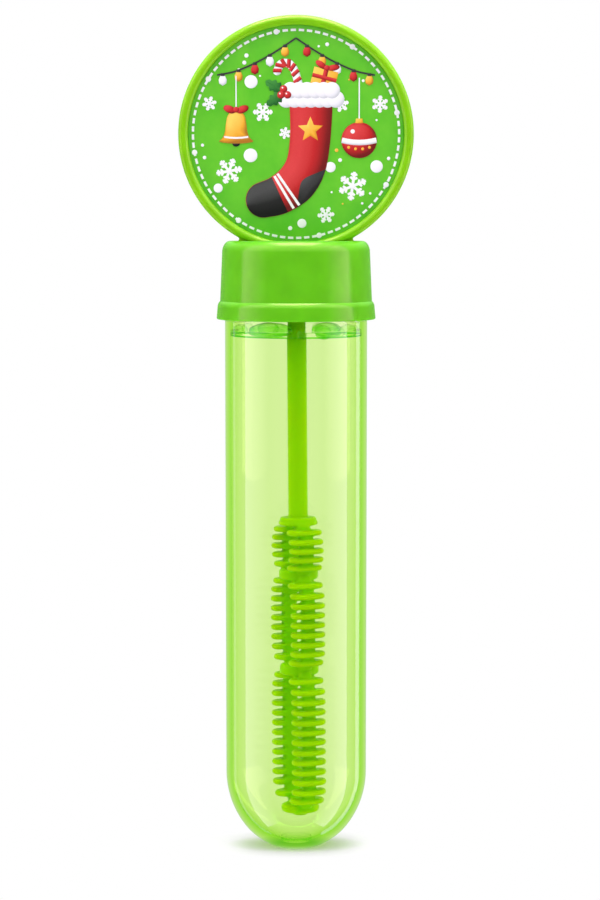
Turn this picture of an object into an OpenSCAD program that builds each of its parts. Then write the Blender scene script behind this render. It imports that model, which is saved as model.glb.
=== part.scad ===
// Bubble wand: a ribbed wand on a push-on cap with a picture disc, kept in a clear tube of bubble solution.
// Sizes are millimetres. The origin is the middle of the foot, +Z runs up the tube and the disc faces -Y.

/* [Bottle] */
// Outside diameter of the tube
tube_d = 22.1; // [20:0.1:28]
// Height of the shoulder above the foot
shoulder_z = 84.8; // [76:0.2:110]
// Wall thickness of the tube and the neck
wall = 1.2; // [0.8:0.1:1.5]
// Thickness of the floor at its middle
floor_t = 1.6; // [1.2:0.1:2.5]
// Diameter of the flat foot
foot_d = 6.4; // [5:0.2:8]
// Depth of the moulding dimple in the foot
dimple_depth = 0.4; // [0.2:0.1:0.8]
// How far the neck is set in from the tube
neck_inset = 1.35; // [1:0.05:2]
// Height of the neck above the shoulder
neck_h = 7.4; // [6:0.2:12]
// How far the two grip beads stand out of the neck
bead_out = 0.3; // [0.1:0.05:0.4]

/* [Bubble solution] */
// How far the surface lies below the start of the shoulder
fill_drop = 1; // [0.2:0.2:40]

/* [Cap] */
// Wall thickness of the cap's body at its lower end
cap_wall = 1.75; // [1.2:0.05:2.2]
// Thickness of the cap's top
cap_top_t = 2.6; // [2:0.1:4]
// How much narrower the cap's body is at its upper end, on the radius
cap_draft = 0.33; // [0:0.01:0.6]
// Radius of the cap's rounded upper edge
cap_round = 1.2; // [0.4:0.1:1.6]
// Height of the thumb flange
flange_h = 2.8; // [2.5:0.1:4.5]
// Wall of the thumb flange outside the tube
flange_wall = 1.05; // [0.9:0.05:2]
// How far the flange reaches down over the tube
skirt_h = 1.3; // [0.8:0.1:2]
// Thickness of the sealing liner
liner_t = 0.8; // [0.5:0.1:1.5]
// Depth of the socket that holds the stem
socket_depth = 6; // [4:0.5:8]
// Wall thickness of the socket
socket_wall = 1.4; // [1:0.1:2]

/* [Wand] */
// Diameter of the stem
stem_d = 2.8; // [2:0.1:3.6]
// Angle between the loops' plane and the disc's axis
head_turn = 18; // [0:1:90]
// Width of the loops' rails
rail_w = 2.2; // [1.6:0.1:3]
// Thickness of the loops' rails
rail_t = 1.8; // [1.4:0.1:2.2]
// Height of the large loop
large_h = 23.7; // [18:0.1:28]
// Height of the middle loop
middle_h = 16.9; // [13:0.1:19]
// Height of the small loop
small_h = 9.9; // [9:0.1:12]
// Width of a rib
rib_w = 5.3; // [4.4:0.1:6.4]
// Depth of a rib round its rail
rib_d = 3.4; // [2.6:0.1:4]
// Thickness of a rib
rib_t = 0.86; // [0.6:0.02:1]
// Distance from rib to rib, rounded to fit each loop
rib_pitch = 1.52; // [1.4:0.02:2.4]
// Diameter of the bosses that join the loops
boss_d = 5.6; // [4.4:0.1:6.4]
// Height of the bosses
boss_h = 1.7; // [1.2:0.1:3]
// Diameter of the head's end nub
nub_d = 2.3; // [1.6:0.1:3]
// Height of the head's end nub
nub_h = 0.6; // [0.4:0.1:1.2]
// Space under the end nub
nub_gap = 3.5; // [1:0.1:6]

/* [Picture disc] */
// Diameter of the disc
disc_d = 36.2; // [30:0.1:44]
// Thickness of the disc at its rim
disc_t = 5; // [4:0.1:7]
// Width of the rounded rim
rim_w = 1.5; // [1:0.1:2.4]
// Thickness of the web inside the rim
web_t = 2.6; // [1.6:0.1:3.2]
// How far the disc's round reaches below the cap's top
disc_sink = 1.8; // [1.5:0.1:3]
// Width of the tongue that seats in the cap
tongue_w = 18; // [10:0.5:18.5]
// Depth that the tongue seats in the cap
tongue_h = 1.4; // [0.8:0.1:1.6]
// Thickness of each label
label_t = 0.15; // [0.1:0.05:0.4]

/* [Clearances] */
// Between the grip beads and the cap's bore
cap_fit = 0.05; // [0.02:0.01:0.15]
// Between the tube and the flange
skirt_gap = 0.25; // [0.15:0.05:0.5]
// Between the wand's head and the neck as it passes
pass_gap = 2.3; // [0.8:0.1:2.8]
// Between the solution and the round path that the wand's head sweeps
path_gap = 0.5; // [0.3:0.1:1]
// Between the solution and the bottle
film_gap = 0.05; // [0.02:0.01:0.1]
// Round the liner, to the socket and to the cap's bore
liner_gap = 0.15; // [0.1:0.05:0.3]
// Between the stem and its socket
stem_fit = 0.02; // [0.01:0.01:0.05]
// Between the tongue and its pocket
tongue_fit = 0.05; // [0.02:0.01:0.1]
// Between a label's edge and the rim
label_gap = 0.1; // [0.05:0.05:0.4]

/* [Hidden] */
$fn = 96;
overrun = 1;
arc_steps = 12;

// Bottle
tube_r = tube_d / 2;
inner_r = tube_r - wall;
neck_r = tube_r - neck_inset;
bore_r = neck_r - wall;
dome_side_share = 1.27;
dome_tip_share = 0.936;
dome_side_r = tube_r * dome_side_share;
dome_tip_r = tube_r * dome_tip_share;
foot_r = foot_d / 2;
foot_sag = dome_tip_r - sqrt(pow(dome_tip_r, 2) - pow(foot_r, 2));
dimple_share = 0.7;
dimple_r = foot_r * dimple_share;
dimple_ball_r = (pow(dimple_r, 2) + pow(dimple_depth, 2)) / (2 * dimple_depth);
lip_z = shoulder_z + neck_h;
skirt_z = shoulder_z - skirt_h;
band_step = 0.3;
band_z = skirt_z - skirt_gap;
shoulder_edge = 0.5;
shoulder_rise = 2;
throat_z = shoulder_z - shoulder_rise;
bead_r = 0.5;
bead_shares = [0.3, 0.65];

// Cap and liner
cap_bore_r = neck_r + bead_out + cap_fit;
cap_r = cap_bore_r + cap_wall;
cap_top_r = cap_r - cap_draft;
ceiling_z = lip_z + liner_t;
cap_z = ceiling_z + cap_top_t;
counter_r = tube_r + skirt_gap;
counter_z = shoulder_z + skirt_gap;
flange_r = counter_r + flange_wall;
flange_z = skirt_z + flange_h;
flange_round_share = 0.5;
flange_round = flange_wall * flange_round_share;
socket_r = stem_d / 2 + stem_fit;
socket_z = ceiling_z - socket_depth;
socket_out_r = socket_r + socket_wall;

// Wand
pass_r = bore_r - pass_gap;
rail_half_d = sqrt(pow(pass_r - rib_d / 2, 2) - pow((rib_w - rib_d) / 2, 2));
nub_z = floor_t + nub_gap;
large_z = nub_z + nub_h;
middle_z = large_z + large_h - rail_t;
small_z = middle_z + middle_h - rail_t;
head_z = small_z + small_h;
loop_round_share = 0.96;
rib_end_angle = 42;
end_boss_share = 0.75;
end_boss_h = boss_h * end_boss_share;

// Bubble solution
surface_z = throat_z - fill_drop;
path_r = pass_r + path_gap;
path_z = nub_z - path_gap;

// Picture disc
disc_r = disc_d / 2;
tongue_z = cap_z - tongue_h;
disc_z = cap_z + disc_r - disc_sink;
recess_r = disc_r - rim_w;
label_r = recess_r - label_gap;

// Points on an arc about c, from the angle a to the angle b
function arc(c, r, a, b) = [
    for (i = [0 : arc_steps])
        let (t = a + (b - a) * i / arc_steps)
            c + r * [cos(t), sin(t)]
];

// Points up the round end's profile, inset from the outside, from the radius start_r to the straight wall
function dome(inset, pole_z, start_r) = let (
    r = tube_r - inset,
    side_r = dome_side_r - inset,
    tip_r = dome_tip_r - inset,
    turn = -acos((side_r - r) / (side_r - tip_r)),
    tip_c = [0, pole_z + tip_r],
    side_c = [r - side_r, tip_c.y + sqrt(pow(side_r - tip_r, 2) - pow(side_r - r, 2))],
    side = arc(side_c, side_r, turn, 0)
) concat(arc(tip_c, tip_r, -acos(start_r / tip_r), turn), [for (i = [1 : arc_steps]) side[i]]);

function reversed(points) = [for (i = [len(points) - 1 : -1 : 0]) points[i]];

// Half the height and half the depth of a loop of height h, to the middle of its rails
function loop_half_h(h) = (h - rail_t) / 2;
function loop_half_d(h) = min(rail_half_d, loop_half_h(h) * loop_round_share);

// Flat shape of length 2 * half, with round ends of radius r, along X
module slot(half, r) {
    square([2 * (half - r), 2 * r], center = true);
    for (side = [-1, 1])
        translate([side * (half - r), 0])
            circle(r);
}

module bottle() {
    dimple_c = [0, dimple_depth - dimple_ball_r];
    outline = concat(
        arc(dimple_c, dimple_ball_r, 90, acos(dimple_r / dimple_ball_r)),
        dome(0, -foot_sag, foot_r),
        [
            [tube_r, band_z],
            [tube_r - band_step, band_z],
            [tube_r - band_step, shoulder_z - shoulder_edge],
            [tube_r - band_step - shoulder_edge, shoulder_z],
            [neck_r, shoulder_z],
            [neck_r, lip_z],
            [bore_r, lip_z],
            [bore_r, throat_z + neck_inset],
            [inner_r, throat_z]
        ],
        reversed(dome(wall, floor_t, 0))
    );
    color([0.80, 0.93, 0.62, 0.45]) {
        rotate_extrude()
            polygon(outline);
        for (share = bead_shares)
            translate([0, 0, shoulder_z + neck_h * share])
                rotate_extrude()
                    translate([neck_r + bead_out - bead_r, 0])
                        circle(bead_r);
    }
}

// The liquid leaves free the round path along which the wand's head turns and lifts
module bubble_solution() {
    inset = wall + film_gap;
    outline = concat(
        dome(inset, floor_t + film_gap, 0),
        [[tube_r - inset, surface_z], [0, surface_z]]
    );
    color([0.85, 0.95, 0.66, 0.5])
        difference() {
            rotate_extrude()
                polygon(outline);
            translate([0, 0, path_z + path_r])
                sphere(path_r);
            translate([0, 0, path_z + path_r])
                cylinder(r = path_r, h = surface_z - path_z);
        }
}

module cap() {
    flange_c = [flange_r - flange_round, flange_z - flange_round];
    top_c = [cap_top_r - cap_round, cap_z - cap_round];
    outline = concat(
        [[counter_r, skirt_z], [flange_r, skirt_z]],
        arc(flange_c, flange_round, 0, 90),
        [[cap_r, flange_z]],
        arc(top_c, cap_round, 0, 90),
        [
            [0, cap_z],
            [0, ceiling_z],
            [socket_r, ceiling_z],
            [socket_r, socket_z],
            [socket_out_r, socket_z],
            [socket_out_r, ceiling_z],
            [cap_bore_r, ceiling_z],
            [cap_bore_r, counter_z],
            [counter_r, counter_z]
        ]
    );
    pocket = [tongue_w + 2 * tongue_fit, disc_t + 2 * tongue_fit, tongue_h + overrun];
    color([0.40, 0.78, 0.14])
        difference() {
            rotate_extrude()
                polygon(outline);
            translate([-pocket.x / 2, -pocket.y / 2, tongue_z])
                cube(pocket);
        }
}

module seal_liner() {
    color([0.93, 0.93, 0.88])
        translate([0, 0, lip_z])
            difference() {
                cylinder(r = cap_bore_r - liner_gap, h = liner_t);
                translate([0, 0, -overrun])
                    cylinder(r = socket_out_r + liner_gap, h = liner_t + 2 * overrun);
            }
}

// A loop's outline run along X, grown from the middle of its rails
module loop_run(h, grow, run) {
    rotate([90, 90, 90])
        linear_extrude(run, center = true)
            slot(loop_half_h(h) + grow, loop_half_d(h) + grow);
}

// Level ribs round both rails of a loop, evenly spaced and left out near the loop's ends
module loop_ribs(h) {
    d = loop_half_d(h);
    straight = loop_half_h(h) - d;
    reach = straight + d * sin(rib_end_angle);
    gaps = round(2 * reach / rib_pitch);
    for (i = [0 : gaps], side = [-1, 1]) {
        z = reach * (2 * i / gaps - 1);
        bend = max(0, abs(z) - straight);
        translate([0, side * sqrt(pow(d, 2) - pow(bend, 2)), z])
            linear_extrude(rib_t, center = true)
                slot(rib_w / 2, rib_d / 2);
    }
}

module wand() {
    loops = [[large_z, large_h], [middle_z, middle_h], [small_z, small_h]];
    color([0.52, 0.82, 0.02])
        rotate(head_turn) {
            for (l = loops)
                translate([0, 0, l[0] + l[1] / 2])
                    difference() {
                        union() {
                            loop_run(l[1], rail_t / 2, rail_w);
                            loop_ribs(l[1]);
                        }
                        loop_run(l[1], -rail_t / 2, rib_w + 2 * overrun);
                    }
            for (z = [middle_z, small_z])
                translate([0, 0, z + rail_t / 2])
                    cylinder(d = boss_d, h = boss_h, center = true);
            for (z = [large_z, head_z - end_boss_h])
                translate([0, 0, z])
                    cylinder(d = boss_d, h = end_boss_h);
            translate([0, 0, nub_z])
                cylinder(d = nub_d, h = nub_h + end_boss_h);
            translate([0, 0, head_z - end_boss_h])
                cylinder(d = stem_d, h = ceiling_z - head_z + end_boss_h);
        }
}

module picture_disc() {
    color([0.45, 0.80, 0.14])
        difference() {
            union() {
                translate([0, 0, disc_z])
                    rotate([90, 0, 0])
                        rotate_extrude() {
                            translate([0, -web_t / 2])
                                square([disc_r - rim_w / 2, web_t]);
                            translate([disc_r - rim_w / 2, 0])
                                rotate(90)
                                    slot(disc_t / 2, rim_w / 2);
                        }
                translate([-tongue_w / 2, -disc_t / 2, tongue_z])
                    cube([tongue_w, disc_t, tongue_h]);
            }
            for (side = [-1, 1])
                translate([0, side * (web_t / 2 + disc_t / 2), disc_z])
                    rotate([90, 0, 0])
                        cylinder(r = recess_r, h = disc_t, center = true);
            translate([-disc_r, -disc_t, tongue_z - disc_r])
                cube([disc_d, 2 * disc_t, disc_r]);
        }
}

// A round label on the web, on the front with side -1 and on the back with side 1
module label(side) {
    color([0.33, 0.71, 0.14])
        translate([0, side * (web_t + label_t) / 2, disc_z])
            rotate([90, 0, 0])
                cylinder(r = label_r, h = label_t, center = true);
}

module front_label() {
    label(-1);
}

module back_label() {
    label(1);
}

bottle();
bubble_solution();
cap();
seal_liner();
wand();
picture_disc();
front_label();
back_label();
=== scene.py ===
"""Looks of a bubble wand.

A ribbed wand hangs from a push-on cap with a picture disc, in a clear tube of bubble solution.
Lengths are millimetres until a mesh is made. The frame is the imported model's: the origin is the
middle of the foot, +Z runs up the tube and the disc's front faces -Y.
"""

import math
import random

import bmesh
import bpy
from mathutils import Matrix, Vector


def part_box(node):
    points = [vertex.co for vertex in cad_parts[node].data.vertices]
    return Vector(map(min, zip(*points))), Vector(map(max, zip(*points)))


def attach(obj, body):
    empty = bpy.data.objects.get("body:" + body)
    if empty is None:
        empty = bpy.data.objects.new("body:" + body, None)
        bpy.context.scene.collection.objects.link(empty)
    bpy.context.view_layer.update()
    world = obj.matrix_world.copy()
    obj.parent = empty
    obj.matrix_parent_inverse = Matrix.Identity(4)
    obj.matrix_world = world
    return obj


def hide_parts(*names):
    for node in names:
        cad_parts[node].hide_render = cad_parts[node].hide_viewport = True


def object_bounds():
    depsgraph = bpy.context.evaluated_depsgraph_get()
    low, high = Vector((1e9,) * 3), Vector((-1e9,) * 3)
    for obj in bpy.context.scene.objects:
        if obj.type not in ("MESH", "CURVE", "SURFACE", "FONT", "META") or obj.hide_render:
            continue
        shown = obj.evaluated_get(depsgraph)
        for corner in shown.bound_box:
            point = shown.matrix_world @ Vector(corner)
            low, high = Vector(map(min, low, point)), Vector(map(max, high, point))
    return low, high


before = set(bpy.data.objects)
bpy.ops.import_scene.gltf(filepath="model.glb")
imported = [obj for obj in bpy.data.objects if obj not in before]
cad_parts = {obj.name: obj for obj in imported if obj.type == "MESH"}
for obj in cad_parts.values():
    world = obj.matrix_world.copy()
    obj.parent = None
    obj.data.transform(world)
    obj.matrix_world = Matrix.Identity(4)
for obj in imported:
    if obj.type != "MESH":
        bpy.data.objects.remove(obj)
cad_lo, cad_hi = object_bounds()

MM = 0.001


def node_box(name):
    """Lowest and highest corner of a CAD node, in millimetres."""
    lo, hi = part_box(name)
    return lo / MM, hi / MM


# Sizes taken from the frame
_, bottle_hi = node_box("bottle")
cap_lo, cap_hi = node_box("cap")
wand_lo, _ = node_box("wand")
_, liner_hi = node_box("seal_liner")
_, liquid_hi = node_box("bubble_solution")
disc_lo, disc_hi = node_box("picture_disc")
label_lo, label_hi = node_box("front_label")

tube_r = bottle_hi.x
lip_z = bottle_hi.z
flange_r = cap_hi.x
skirt_z = cap_lo.z
cap_z = cap_hi.z
ceiling_z = liner_hi.z
surface_z = liquid_hi.z
nub_z = wand_lo.z
disc_r = disc_hi.x
disc_t = disc_hi.y - disc_lo.y
disc_z = disc_hi.z - disc_r
tongue_z = disc_lo.z
label_r = label_hi.x
label_face = -label_lo.y
label_back = -label_hi.y

# Bottle
WALL = 1.2
FLOOR_T = 1.1
FOOT_R = 3.2
DIMPLE_R = 2.24
DIMPLE_DEPTH = 0.12
GATE_R = 2.4
GATE_Z = 1.35
GATE_T = 0.6
SIDE_SHARE = 1.27
TIP_SHARE = 0.936
SHOULDER_Z = 84.8
SHOULDER_ROUND = 0.5
NECK_INSET = 1.35
BAND_Z = 83.25
BAND_STEP = 0.3
THROAT_Z = 82.8
BEAD_OUT = 0.3
BEAD_SHARES = (0.3, 0.65)
LIP_ROUND = 0.4
STRAIGHT_Z = 24
STRAIGHT_STEPS = 12

# Cap
CAP_BORE_R = 10.05
CAP_R = 11.8
CAP_DRAFT = 0.33
CAP_ROUND = 1.2
CAP_ROUND_H = 1.8
COUNTER_R = 11.3
COUNTER_Z = 85.05
FLANGE_H = 2.8
FLANGE_ROUND = 1.2
FLANGE_DRAFT = 0.15
SOCKET_R = 1.42
SOCKET_OUT_R = 2.82
SOCKET_DEPTH = 6.0
EDGE_ROUND = 0.22

# Wand
STEM_R = 1.4
STEM_EDGE = 0.15
HEAD_TURN = math.radians(18)
LEAN = math.radians(0.4)
LOOPS = (23.7, 16.9, 9.9)
LOOP_ROUND_SHARE = 0.96
RAIL_W = 2.0
RAIL_T = 1.8
RAIL_HALF_D = 4.4
RAIL_SQUARE = 0.6
RIB_W = 5.3
RIB_D = 3.4
RIB_T = 0.86
RIB_PITCH = 1.52
RIB_END = math.radians(42)
BOSS_R = 2.8
BOSS_H = 1.7
BOSS_EDGE = 0.5
COLLAR_H = 1.275
COLLAR_EDGE = 0.3
COLLAR_STEP = 0.93
COLLAR_LAP = 0.05
FOOT_EDGE = 0.45
NUB_R = 1.15
NUB_H = 0.6
NUB_EDGE = 0.35
NUB_SEGMENTS = 32
BAR_SEGMENTS = 48
VOXEL = 0.172

# How light the wand is painted, for light that shines through thin plastic: 0 in the rails, 1 where ribs
# stand out this far; the stem fades between heights into painted shade under the cap
RIB_OUT_X = 0.9
RIB_OUT_Y = 0.6
WAIST_PAINTED_LIGHT = 0.25
STEM_PAINTED_LIGHT = 0.5
STEM_SHADE = (68, 79)

# Picture disc
RIM_W = 1.5
WEB_T = 2.6
TONGUE_W = 18.0
TONGUE_FIT = 0.05
FOOT_FILLET = 0.3
FOOT_SINK = 0.25
FOOT_SHARE = 0.88
LABEL_BLEED = 0.09
LABEL_EDGE = 0.05

# Meshes
SEGMENTS = 160
ARC_STEPS = 16
MERGE = 1e-5
SMOOTH_ANGLE = math.radians(35)


def arc(centre, radius, start, end, steps=ARC_STEPS):
    """Points on a circle from the angle start to the angle end, in degrees."""
    angles = [math.radians(start + (end - start) * i / steps) for i in range(steps + 1)]
    return [(centre[0] + radius * math.cos(a), centre[1] + radius * math.sin(a)) for a in angles]


def circle(centre, radius, steps):
    """Points once round a circle."""
    return arc(centre, radius, 0, 360, steps)[:-1]


def line(start, end, steps):
    """Evenly spaced points from start to end."""
    shares = [i / steps for i in range(steps + 1)]
    return [tuple(a + (b - a) * s for a, b in zip(start, end)) for s in shares]


def spline(points, steps=8):
    """A smooth curve through the points, which hold any count of numbers each."""
    last = len(points) - 1
    made = []
    for i in range(last):
        p0, p1, p2, p3 = (points[min(max(i + k, 0), last)] for k in (-1, 0, 1, 2))
        for step in range(steps):
            t = step / steps
            made.append(tuple(
                b + 0.5 * t * (c - a + t * (2 * a - 5 * b + 4 * c - d + t * (3 * (b - c) + d - a)))
                for a, b, c, d in zip(p0, p1, p2, p3)
            ))
    return made + [tuple(points[-1])]


def finish_mesh(name, bm):
    """An object of a mesh in millimetres, turned into metres and smooth but for sharp edges."""
    bmesh.ops.remove_doubles(bm, verts=bm.verts, dist=MERGE)
    bmesh.ops.recalc_face_normals(bm, faces=bm.faces)
    bmesh.ops.scale(bm, vec=(MM, MM, MM), verts=bm.verts)
    mesh = bpy.data.meshes.new(name)
    bm.to_mesh(mesh)
    bm.free()
    mesh.shade_smooth()
    mesh.set_sharp_from_angle(angle=SMOOTH_ANGLE)
    obj = bpy.data.objects.new(name, mesh)
    bpy.context.scene.collection.objects.link(obj)
    return obj


def skin(bm, rows, rings=True):
    """Faces between rows of points, in triangles where a row has shrunk to one point."""
    count = len(rows[0])
    for low, high in zip(rows, rows[1:]):
        for i in range(count if rings else count - 1):
            j = (i + 1) % count
            corners = dict.fromkeys((low[i], low[j], high[j], high[i]))
            if len(corners) > 2:
                bm.faces.new(corners)


def add_lathe(bm, profile, segments=SEGMENTS, closed=False, matrix=Matrix()):
    """A surface that turns the profile of (radius, height) points about Z."""
    turns = [2 * math.pi * i / segments for i in range(segments)]
    rings = []
    for radius, height in profile:
        if radius < MERGE:
            rings.append([bm.verts.new(matrix @ Vector((0, 0, height)))] * segments)
        else:
            points = [Vector((radius * math.cos(a), radius * math.sin(a), height)) for a in turns]
            rings.append([bm.verts.new(matrix @ point) for point in points])
    skin(bm, rings + rings[:1] if closed else rings)


def lathe(name, profile, **options):
    """An object turned from a profile, with the options of add_lathe."""
    bm = bmesh.new()
    add_lathe(bm, profile, **options)
    return finish_mesh(name, bm)


def apply_modifiers(obj):
    """Puts the result of an object's modifiers into its mesh."""
    graph = bpy.context.evaluated_depsgraph_get()
    mesh = bpy.data.meshes.new_from_object(obj.evaluated_get(graph))
    obj.modifiers.clear()
    old = obj.data
    obj.data = mesh
    bpy.data.meshes.remove(old)
    mesh.name = obj.name


def boolean(obj, cutter, operation):
    """Cuts, trims or joins an object by a cutter, which is then removed."""
    modifier = obj.modifiers.new("cut", "BOOLEAN")
    modifier.operation = operation
    modifier.solver = "EXACT"
    modifier.object = cutter
    apply_modifiers(obj)
    bpy.data.objects.remove(cutter)
    obj.data.set_sharp_from_angle(angle=SMOOTH_ANGLE)


def cut_box(width, depth, low_z, high_z):
    """A plain box about the Z axis, used as a cutter."""
    bm = bmesh.new()
    bmesh.ops.create_cube(bm, size=1)
    bmesh.ops.scale(bm, vec=(width, depth, high_z - low_z), verts=bm.verts)
    bmesh.ops.translate(bm, vec=(0, 0, (low_z + high_z) / 2), verts=bm.verts)
    return finish_mesh("cutter", bm)


def place(obj, body, slot, material, *nodes):
    """Gives a piece its material and its body, and hides the CAD nodes that it stands for; the slot is not
    used.
    """
    obj.data.materials.clear()
    obj.data.materials.append(material)
    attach(obj, body)
    if nodes:
        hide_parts(*nodes)
    return obj


# Materials

def new_material(name):
    """A node material with its Principled shader."""
    material = bpy.data.materials.new(name)
    material.use_nodes = True
    return material, material.node_tree, material.node_tree.nodes["Principled BSDF"]


def feed(tree, socket, value):
    """Sets the value of an input, or links it where the value is another node's output."""
    if isinstance(value, bpy.types.NodeSocket):
        tree.links.new(value, socket)
    else:
        socket.default_value = value


def fill(tree, target, **values):
    """Feeds a node's inputs by name, with _ for a space."""
    for key, value in values.items():
        feed(tree, target.inputs[key.replace("_", " ")], value)


def node(tree, kind, **values):
    """A new node, with its properties set and its inputs fed by name."""
    made = tree.nodes.new(kind)
    for key, value in values.items():
        if hasattr(made, key):
            setattr(made, key, value)
        else:
            fill(tree, made, **{key: value})
    return made


def maths(tree, operation, *values):
    """The result of a calculation with numbers or other nodes' outputs."""
    made = node(tree, "ShaderNodeMath", operation=operation)
    for socket, value in zip(made.inputs, values):
        feed(tree, socket, value)
    return made.outputs["Value"]


def mix(tree, factor, start, end):
    """A value between start and end."""
    return node(tree, "ShaderNodeMix", Factor=factor, A=start, B=end).outputs["Result"]


def span(tree, source, low, high, start=0.0, end=1.0):
    """A value mapped from the span between start and end to that between low and high."""
    made = node(
        tree, "ShaderNodeMapRange",
        Value=source, From_Min=start, From_Max=end, To_Min=low, To_Max=high,
    )
    return made.outputs["Result"]


def coordinates(tree, space):
    """Outputs for the X, Y and Z of each point in a space."""
    coords = node(tree, "ShaderNodeTexCoord")
    return node(tree, "ShaderNodeSeparateXYZ", Vector=coords.outputs[space]).outputs


def noise(tree, scale, detail=3.0, roughness=0.5):
    """Noise in the object's own space, with its scale in features per metre."""
    place_at = node(tree, "ShaderNodeTexCoord").outputs["Object"]
    sizes = {"Scale": scale, "Detail": detail, "Roughness": roughness}
    return node(tree, "ShaderNodeTexNoise", Vector=place_at, **sizes).outputs["Fac"]


def ramp(tree, source, stops):
    """A colour ramp over a value, with stops of (place, colour)."""
    made = node(tree, "ShaderNodeValToRGB", Fac=source)
    elements = made.color_ramp.elements
    while len(elements) < len(stops):
        elements.new(0.5)
    for element, (position, colour) in zip(elements, stops):
        element.position = position
        element.color = (*colour, 1)
    return made.outputs["Color"]


def bump(tree, shader, source, height, strength):
    """Raises the surface by the source, up to a height in metres."""
    made = node(tree, "ShaderNodeBump", Height=source, Distance=height, Strength=strength)
    fill(tree, shader, Normal=made.outputs["Normal"])


def shade(colour, factor):
    """A colour made darker or lighter by a factor."""
    return tuple(min(1, c * factor) for c in colour)


WHITE = (1, 1, 1)
MOULD_SHINE = (1.0, 0.82, 0.4, 1)
MOULD_ROUGHNESS = (0.135, 0.234)
WALL_IOR = 1.001
LIQUID_IOR = 1.1


def moulded_plastic(name, colour, scatter, scatter_radius):
    """Glossy moulded plastic with faint flow clouds, uneven polish and a little light inside."""
    material, tree, shader = new_material(name)
    clouds = noise(tree, scale=260, detail=2.0)
    polish = noise(tree, scale=900, detail=4.0)
    fill(
        tree, shader,
        Base_Color=ramp(tree, clouds, [(0.3, shade(colour, 0.93)), (0.7, shade(colour, 1.06))]),
        Roughness=span(tree, polish, *MOULD_ROUGHNESS),
        IOR=1.6,
        Specular_Tint=MOULD_SHINE,
        Subsurface_Weight=scatter,
        Subsurface_Radius=(0.9, 1.0, 0.15),
        Subsurface_Scale=scatter_radius,
    )
    bump(tree, shader, noise(tree, scale=900, detail=2.0), height=0.000006, strength=0.2)
    return material


def clear_material(name, ior, colour, density, coat_ior=None):
    """A clear body whose colour deepens with thickness, with a polished skin where coat_ior is given."""
    material, tree, shader = new_material(name)
    fill(tree, shader, Base_Color=(*WHITE, 1), Transmission_Weight=1, IOR=ior, Roughness=0)
    if coat_ior:
        inside = node(tree, "ShaderNodeNewGeometry").outputs["Backfacing"]
        outside = span(tree, inside, 1.0, 0.0)
        fill(tree, shader, Coat_Weight=outside, Coat_IOR=coat_ior, Coat_Roughness=0.02)
    volume = node(tree, "ShaderNodeVolumeAbsorption", Color=(*colour, 1), Density=density)
    fill(tree, tree.nodes["Material Output"], Volume=volume.outputs["Volume"])
    return material


def join_to_wall(material, low_z, high_z):
    """Lets the liquid's index fade to the wall's towards the round end, where the two touch all round."""
    tree = material.node_tree
    height = coordinates(tree, "Object")["Z"]
    index = span(tree, height, WALL_IOR, LIQUID_IOR, low_z * MM, high_z * MM)
    fill(tree, tree.nodes["Principled BSDF"], IOR=index)


def wand_plastic(name, core, rib):
    """Satin plastic, darker in the thick rails and yellower in the thin ribs, which let light through; this
    light and shade is painted into the colour.
    """
    material, tree, shader = new_material(name)
    thin = node(tree, "ShaderNodeAttribute", attribute_name="thin").outputs["Fac"]
    # The thin attribute is painted light and shade: ribs lighter as lit through, rails darker, the stem's top
    # darker under the cap
    clouds = maths(tree, "MULTIPLY_ADD", noise(tree, scale=700), 0.24, thin)
    fill(
        tree, shader,
        Base_Color=ramp(tree, clouds, [(0.1, core), (0.9, rib)]),
        Roughness=span(tree, noise(tree, scale=900, detail=4.0), 0.2, 0.36),
        IOR=1.12,
        Specular_Tint=(0.8, 1.0, 0.03, 1),
        Subsurface_Weight=1.0,
        Subsurface_Radius=(1.0, 1.0, 0.3),
        Subsurface_Scale=0.0018,
    )
    bump(tree, shader, noise(tree, scale=1500), height=0.000012, strength=0.25)
    return material


def print_ink(name, dark, middle, light):
    """Printed ink, airbrushed from dark to light by the tone stored with the print's points."""
    material, tree, shader = new_material(name)
    tone = node(tree, "ShaderNodeAttribute", attribute_name="tone").outputs["Fac"]
    grain = maths(tree, "MULTIPLY_ADD", noise(tree, scale=4000, detail=2.0), 0.12, tone)
    colour = ramp(tree, grain, [(0.1, dark), (0.6, middle), (1.0, light)])
    fill(tree, shader, Base_Color=colour, Roughness=0.32)
    return material


def label_ground(name):
    """The printed ground of a label: a mottled green."""
    material, tree, shader = new_material(name)
    mottle = [(0.3, (0.085, 0.49, 0.010)), (0.7, (0.125, 0.55, 0.016))]
    fill(
        tree, shader,
        Base_Color=ramp(tree, noise(tree, scale=330), mottle),
        Roughness=span(tree, noise(tree, scale=1200), 0.28, 0.42),
    )
    return material


def foam_material(name):
    """Closed-cell foam with fine pores."""
    material, tree, shader = new_material(name)
    pores = noise(tree, scale=6000, detail=4.0, roughness=0.7)
    colour = ramp(tree, pores, [(0.3, (0.70, 0.70, 0.64)), (0.6, (0.88, 0.88, 0.83))])
    fill(tree, shader, Base_Color=colour, Roughness=0.75)
    bump(tree, shader, pores, height=0.00005, strength=0.6)
    return material


bottle_mat = clear_material("clear_bottle", WALL_IOR, (0.70, 0.935, 0.15), density=400, coat_ior=1.6)
liquid_mat = clear_material("bubble_solution", LIQUID_IOR, (0.84, 1.0, 0.45), density=20)
join_to_wall(liquid_mat, low_z=3.5, high_z=11)
cap_mat = moulded_plastic("cap_plastic", (0.122, 0.51, 0.010), scatter=0.6, scatter_radius=0.0012)
disc_mat = moulded_plastic("disc_plastic", (0.205, 0.56, 0.006), scatter=0.3, scatter_radius=0.0008)
gate_mat = clear_material("gate_mark", 1.06, WHITE, density=1, coat_ior=1.3)
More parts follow.
